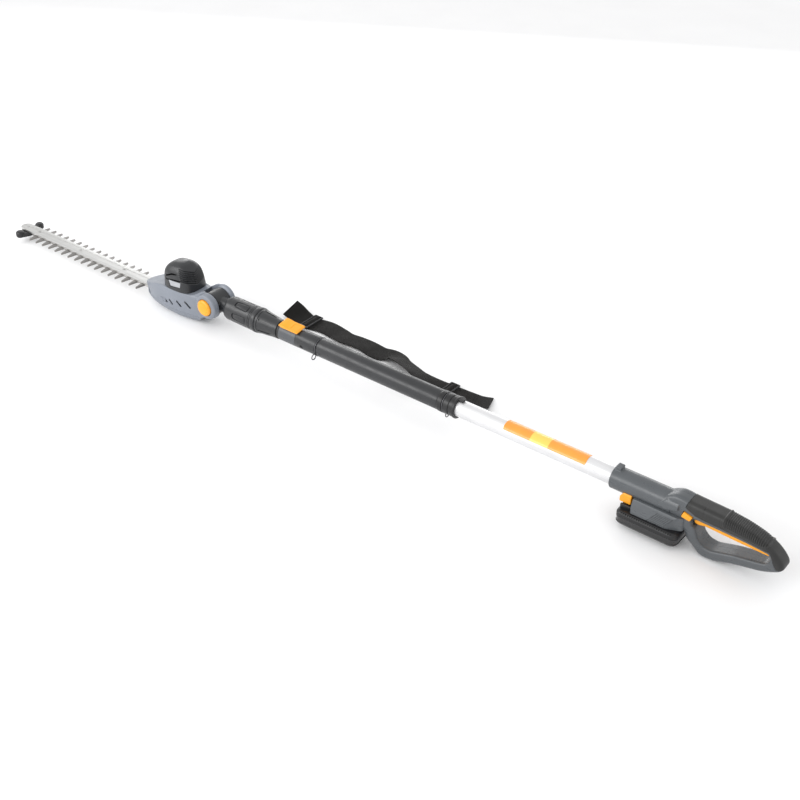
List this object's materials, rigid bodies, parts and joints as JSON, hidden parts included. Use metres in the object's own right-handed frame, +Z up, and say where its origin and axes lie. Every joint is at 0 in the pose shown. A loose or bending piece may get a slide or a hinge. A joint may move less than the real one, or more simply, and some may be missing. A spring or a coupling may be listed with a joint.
{
  "type": "pole hedge trimmer",
  "caption": "Cordless pole hedge trimmer: toothed blade head on a tilting joint, telescopic pole with clamp lever, D-handle with slide-on battery, and a loose shoulder strap.",
  "frame": {"origin": "middle of the flat foot under the rear handle, on the ground the tool rests on", "axes": "+X along the tool from the blade tip to the handle, +Y to the far side where the shoulder strap lies, +Z up"},
  "size_m": [1.8599, 0.1951, 0.12],
  "materials": {
    "steel": "ground blade steel, brushed along its length",
    "bright_steel": "bright turned and plated steel",
    "aluminium_tube": "drawn aluminium tube with a clear satin finish",
    "head_plastic": "blue-grey fine-textured moulded plastic",
    "handle_plastic": "grey satin moulded plastic",
    "black_plastic": "charcoal satin moulded plastic",
    "rubber": "soft black overmould with a moulded rib panel",
    "orange_plastic": "orange semi-gloss moulded plastic",
    "copper": "varnished copper winding",
    "cell_wrap": "blue shrink-wrapped battery cell",
    "webbing": "woven polypropylene webbing"
  },
  "bodies": {
    "handle": {"main_tube": "aluminium_tube", "grip_sleeve": "black_plastic", "rear_collar": "black_plastic", "tube_label": "orange_plastic", "clamp_ring": "black_plastic", "clamp_body": "black_plastic", "clamp_screw": "steel", "lever_pin": "steel", "left_handle_shell": "handle_plastic", "right_handle_shell": "handle_plastic", "grip_overmould": "rubber", "trigger_pin": "steel", "power_switch": "black_plastic", "battery_dock": "handle_plastic", "terminal_block": "bright_steel", "shoulder_strap": "webbing", "strap_slider_front": "black_plastic", "strap_slider_rear": "black_plastic"},
    "extension": {"inner_tube": "aluminium_tube", "pole_socket": "black_plastic", "seal_ring": "rubber", "neck_knuckle": "black_plastic"},
    "union_nut": {"union_nut": "black_plastic"},
    "head": {"head_housing": "head_plastic", "base_cover": "head_plastic", "motor_cover": "black_plastic", "motor_can": "steel", "gear_plate": "aluminium_tube", "lower_bearing": "bright_steel", "upper_bearing": "bright_steel", "guide_bar": "bright_steel", "guide_bolt_1": "bright_steel", "guide_bolt_2": "bright_steel", "guide_bolt_3": "bright_steel", "tip_guard": "black_plastic", "pivot_sleeve": "steel", "pivot_cap": "black_plastic"},
    "crank": {"drive_gear": "steel", "upper_cam": "steel", "lower_cam": "steel", "gear_shaft": "bright_steel"},
    "rotor": {"motor_rotor": "copper", "pinion": "bright_steel"},
    "upper_blade": {"upper_blade": "steel"},
    "lower_blade": {"lower_blade": "steel"},
    "tilt_button": {"tilt_button": "orange_plastic", "tilt_lock_hub": "steel"},
    "clamp_lever": {"clamp_lever": "orange_plastic"},
    "front_strap_ring": {"front_strap_ring": "steel"},
    "rear_strap_ring": {"rear_strap_ring": "steel"},
    "trigger": {"trigger": "orange_plastic"},
    "lock_off_button": {"lock_off_button": "orange_plastic"},
    "battery": {"battery_lower_case": "black_plastic", "battery_upper_case": "black_plastic", "battery_cell_1": "cell_wrap", "battery_cell_2": "cell_wrap", "battery_cell_3": "cell_wrap", "battery_cell_4": "cell_wrap", "battery_cell_5": "cell_wrap"},
    "battery_release": {"battery_release": "orange_plastic"}
  },
  "joints": [
    {"name": "pole_extension", "type": "slide", "parent": "handle", "child": "extension", "axis": [-0.9999, 0, -0.0101], "range_m": [0, 0.45]},
    {"name": "union_nut_turn", "type": "hinge", "parent": "extension", "child": "union_nut", "pos_m": [-1.02864, 0, 0.05861], "axis": [0.9999, 0, 0.0101], "range_deg": [0, 180]},
    {"name": "head_tilt", "type": "hinge", "parent": "extension", "child": "head", "pos_m": [-1.09864, 0, 0.05791], "axis": [0, 1, 0], "range_deg": [-45, 90]},
    {"name": "crank_turn", "type": "hinge", "parent": "head", "child": "crank", "pos_m": [-1.21743, 0, 0.03671], "axis": [-0.0101, 0, 0.9999], "range_deg": [-90, 90]},
    {"name": "rotor_turn", "type": "hinge", "parent": "head", "child": "rotor", "pos_m": [-1.18784, 0, 0.07701], "axis": [-0.0101, 0, 0.9999], "range_deg": [-360, 360]},
    {"name": "upper_blade_stroke", "type": "slide", "parent": "head", "child": "upper_blade", "axis": [0.9999, 0, 0.0101], "range_m": [-0.005, 0.005]},
    {"name": "lower_blade_stroke", "type": "slide", "parent": "head", "child": "lower_blade", "axis": [-0.9999, 0, -0.0101], "range_m": [-0.005, 0.005]},
    {"name": "tilt_button_press", "type": "slide", "parent": "head", "child": "tilt_button", "axis": [0, 1, 0], "range_m": [0, 0.004], "stiffness_N_per_m": 800, "springref_m": -0.002},
    {"name": "clamp_lever_swing", "type": "hinge", "parent": "handle", "child": "clamp_lever", "pos_m": [-0.90987, -0.00375, 0.08109], "axis": [0.0018, -0.9848, -0.1736], "range_deg": [0, 100]},
    {"name": "front_ring_turn", "type": "hinge", "parent": "handle", "child": "front_strap_ring", "pos_m": [-0.81766, 0, 0.06074], "axis": [0.9999, 0, 0.0101], "continuous": true},
    {"name": "rear_ring_turn", "type": "hinge", "parent": "handle", "child": "rear_strap_ring", "pos_m": [-0.51717, 0, 0.06378], "axis": [0.9999, 0, 0.0101], "continuous": true},
    {"name": "trigger_squeeze", "type": "hinge", "parent": "handle", "child": "trigger", "pos_m": [0.09034, 0, 0.06592], "axis": [0, 1, 0], "range_deg": [0, 3.2], "stiffness_Nm_per_rad": 4, "springref_deg": -3.44},
    {"name": "lock_off_push", "type": "slide", "parent": "handle", "child": "lock_off_button", "axis": [0, 1, 0], "range_m": [0, 0.004], "stiffness_N_per_m": 300, "springref_m": -0.002},
    {"name": "battery_slide", "type": "slide", "parent": "handle", "child": "battery", "axis": [-0.9999, 0, -0.0101], "range_m": [0, 0.09]},
    {"name": "battery_release_press", "type": "slide", "parent": "battery", "child": "battery_release", "axis": [0.0101, 0, -0.9999], "range_m": [0, 0.003], "stiffness_N_per_m": 600, "springref_m": -0.002}
  ],
  "couplings": [
    {"joint": "rotor_turn", "follows": "crank_turn", "ratio": -4},
    {"joint": "upper_blade_stroke", "follows": "crank_turn", "m_per_rad": 0.0031831},
    {"joint": "lower_blade_stroke", "follows": "crank_turn", "m_per_rad": 0.0031831}
  ]
}
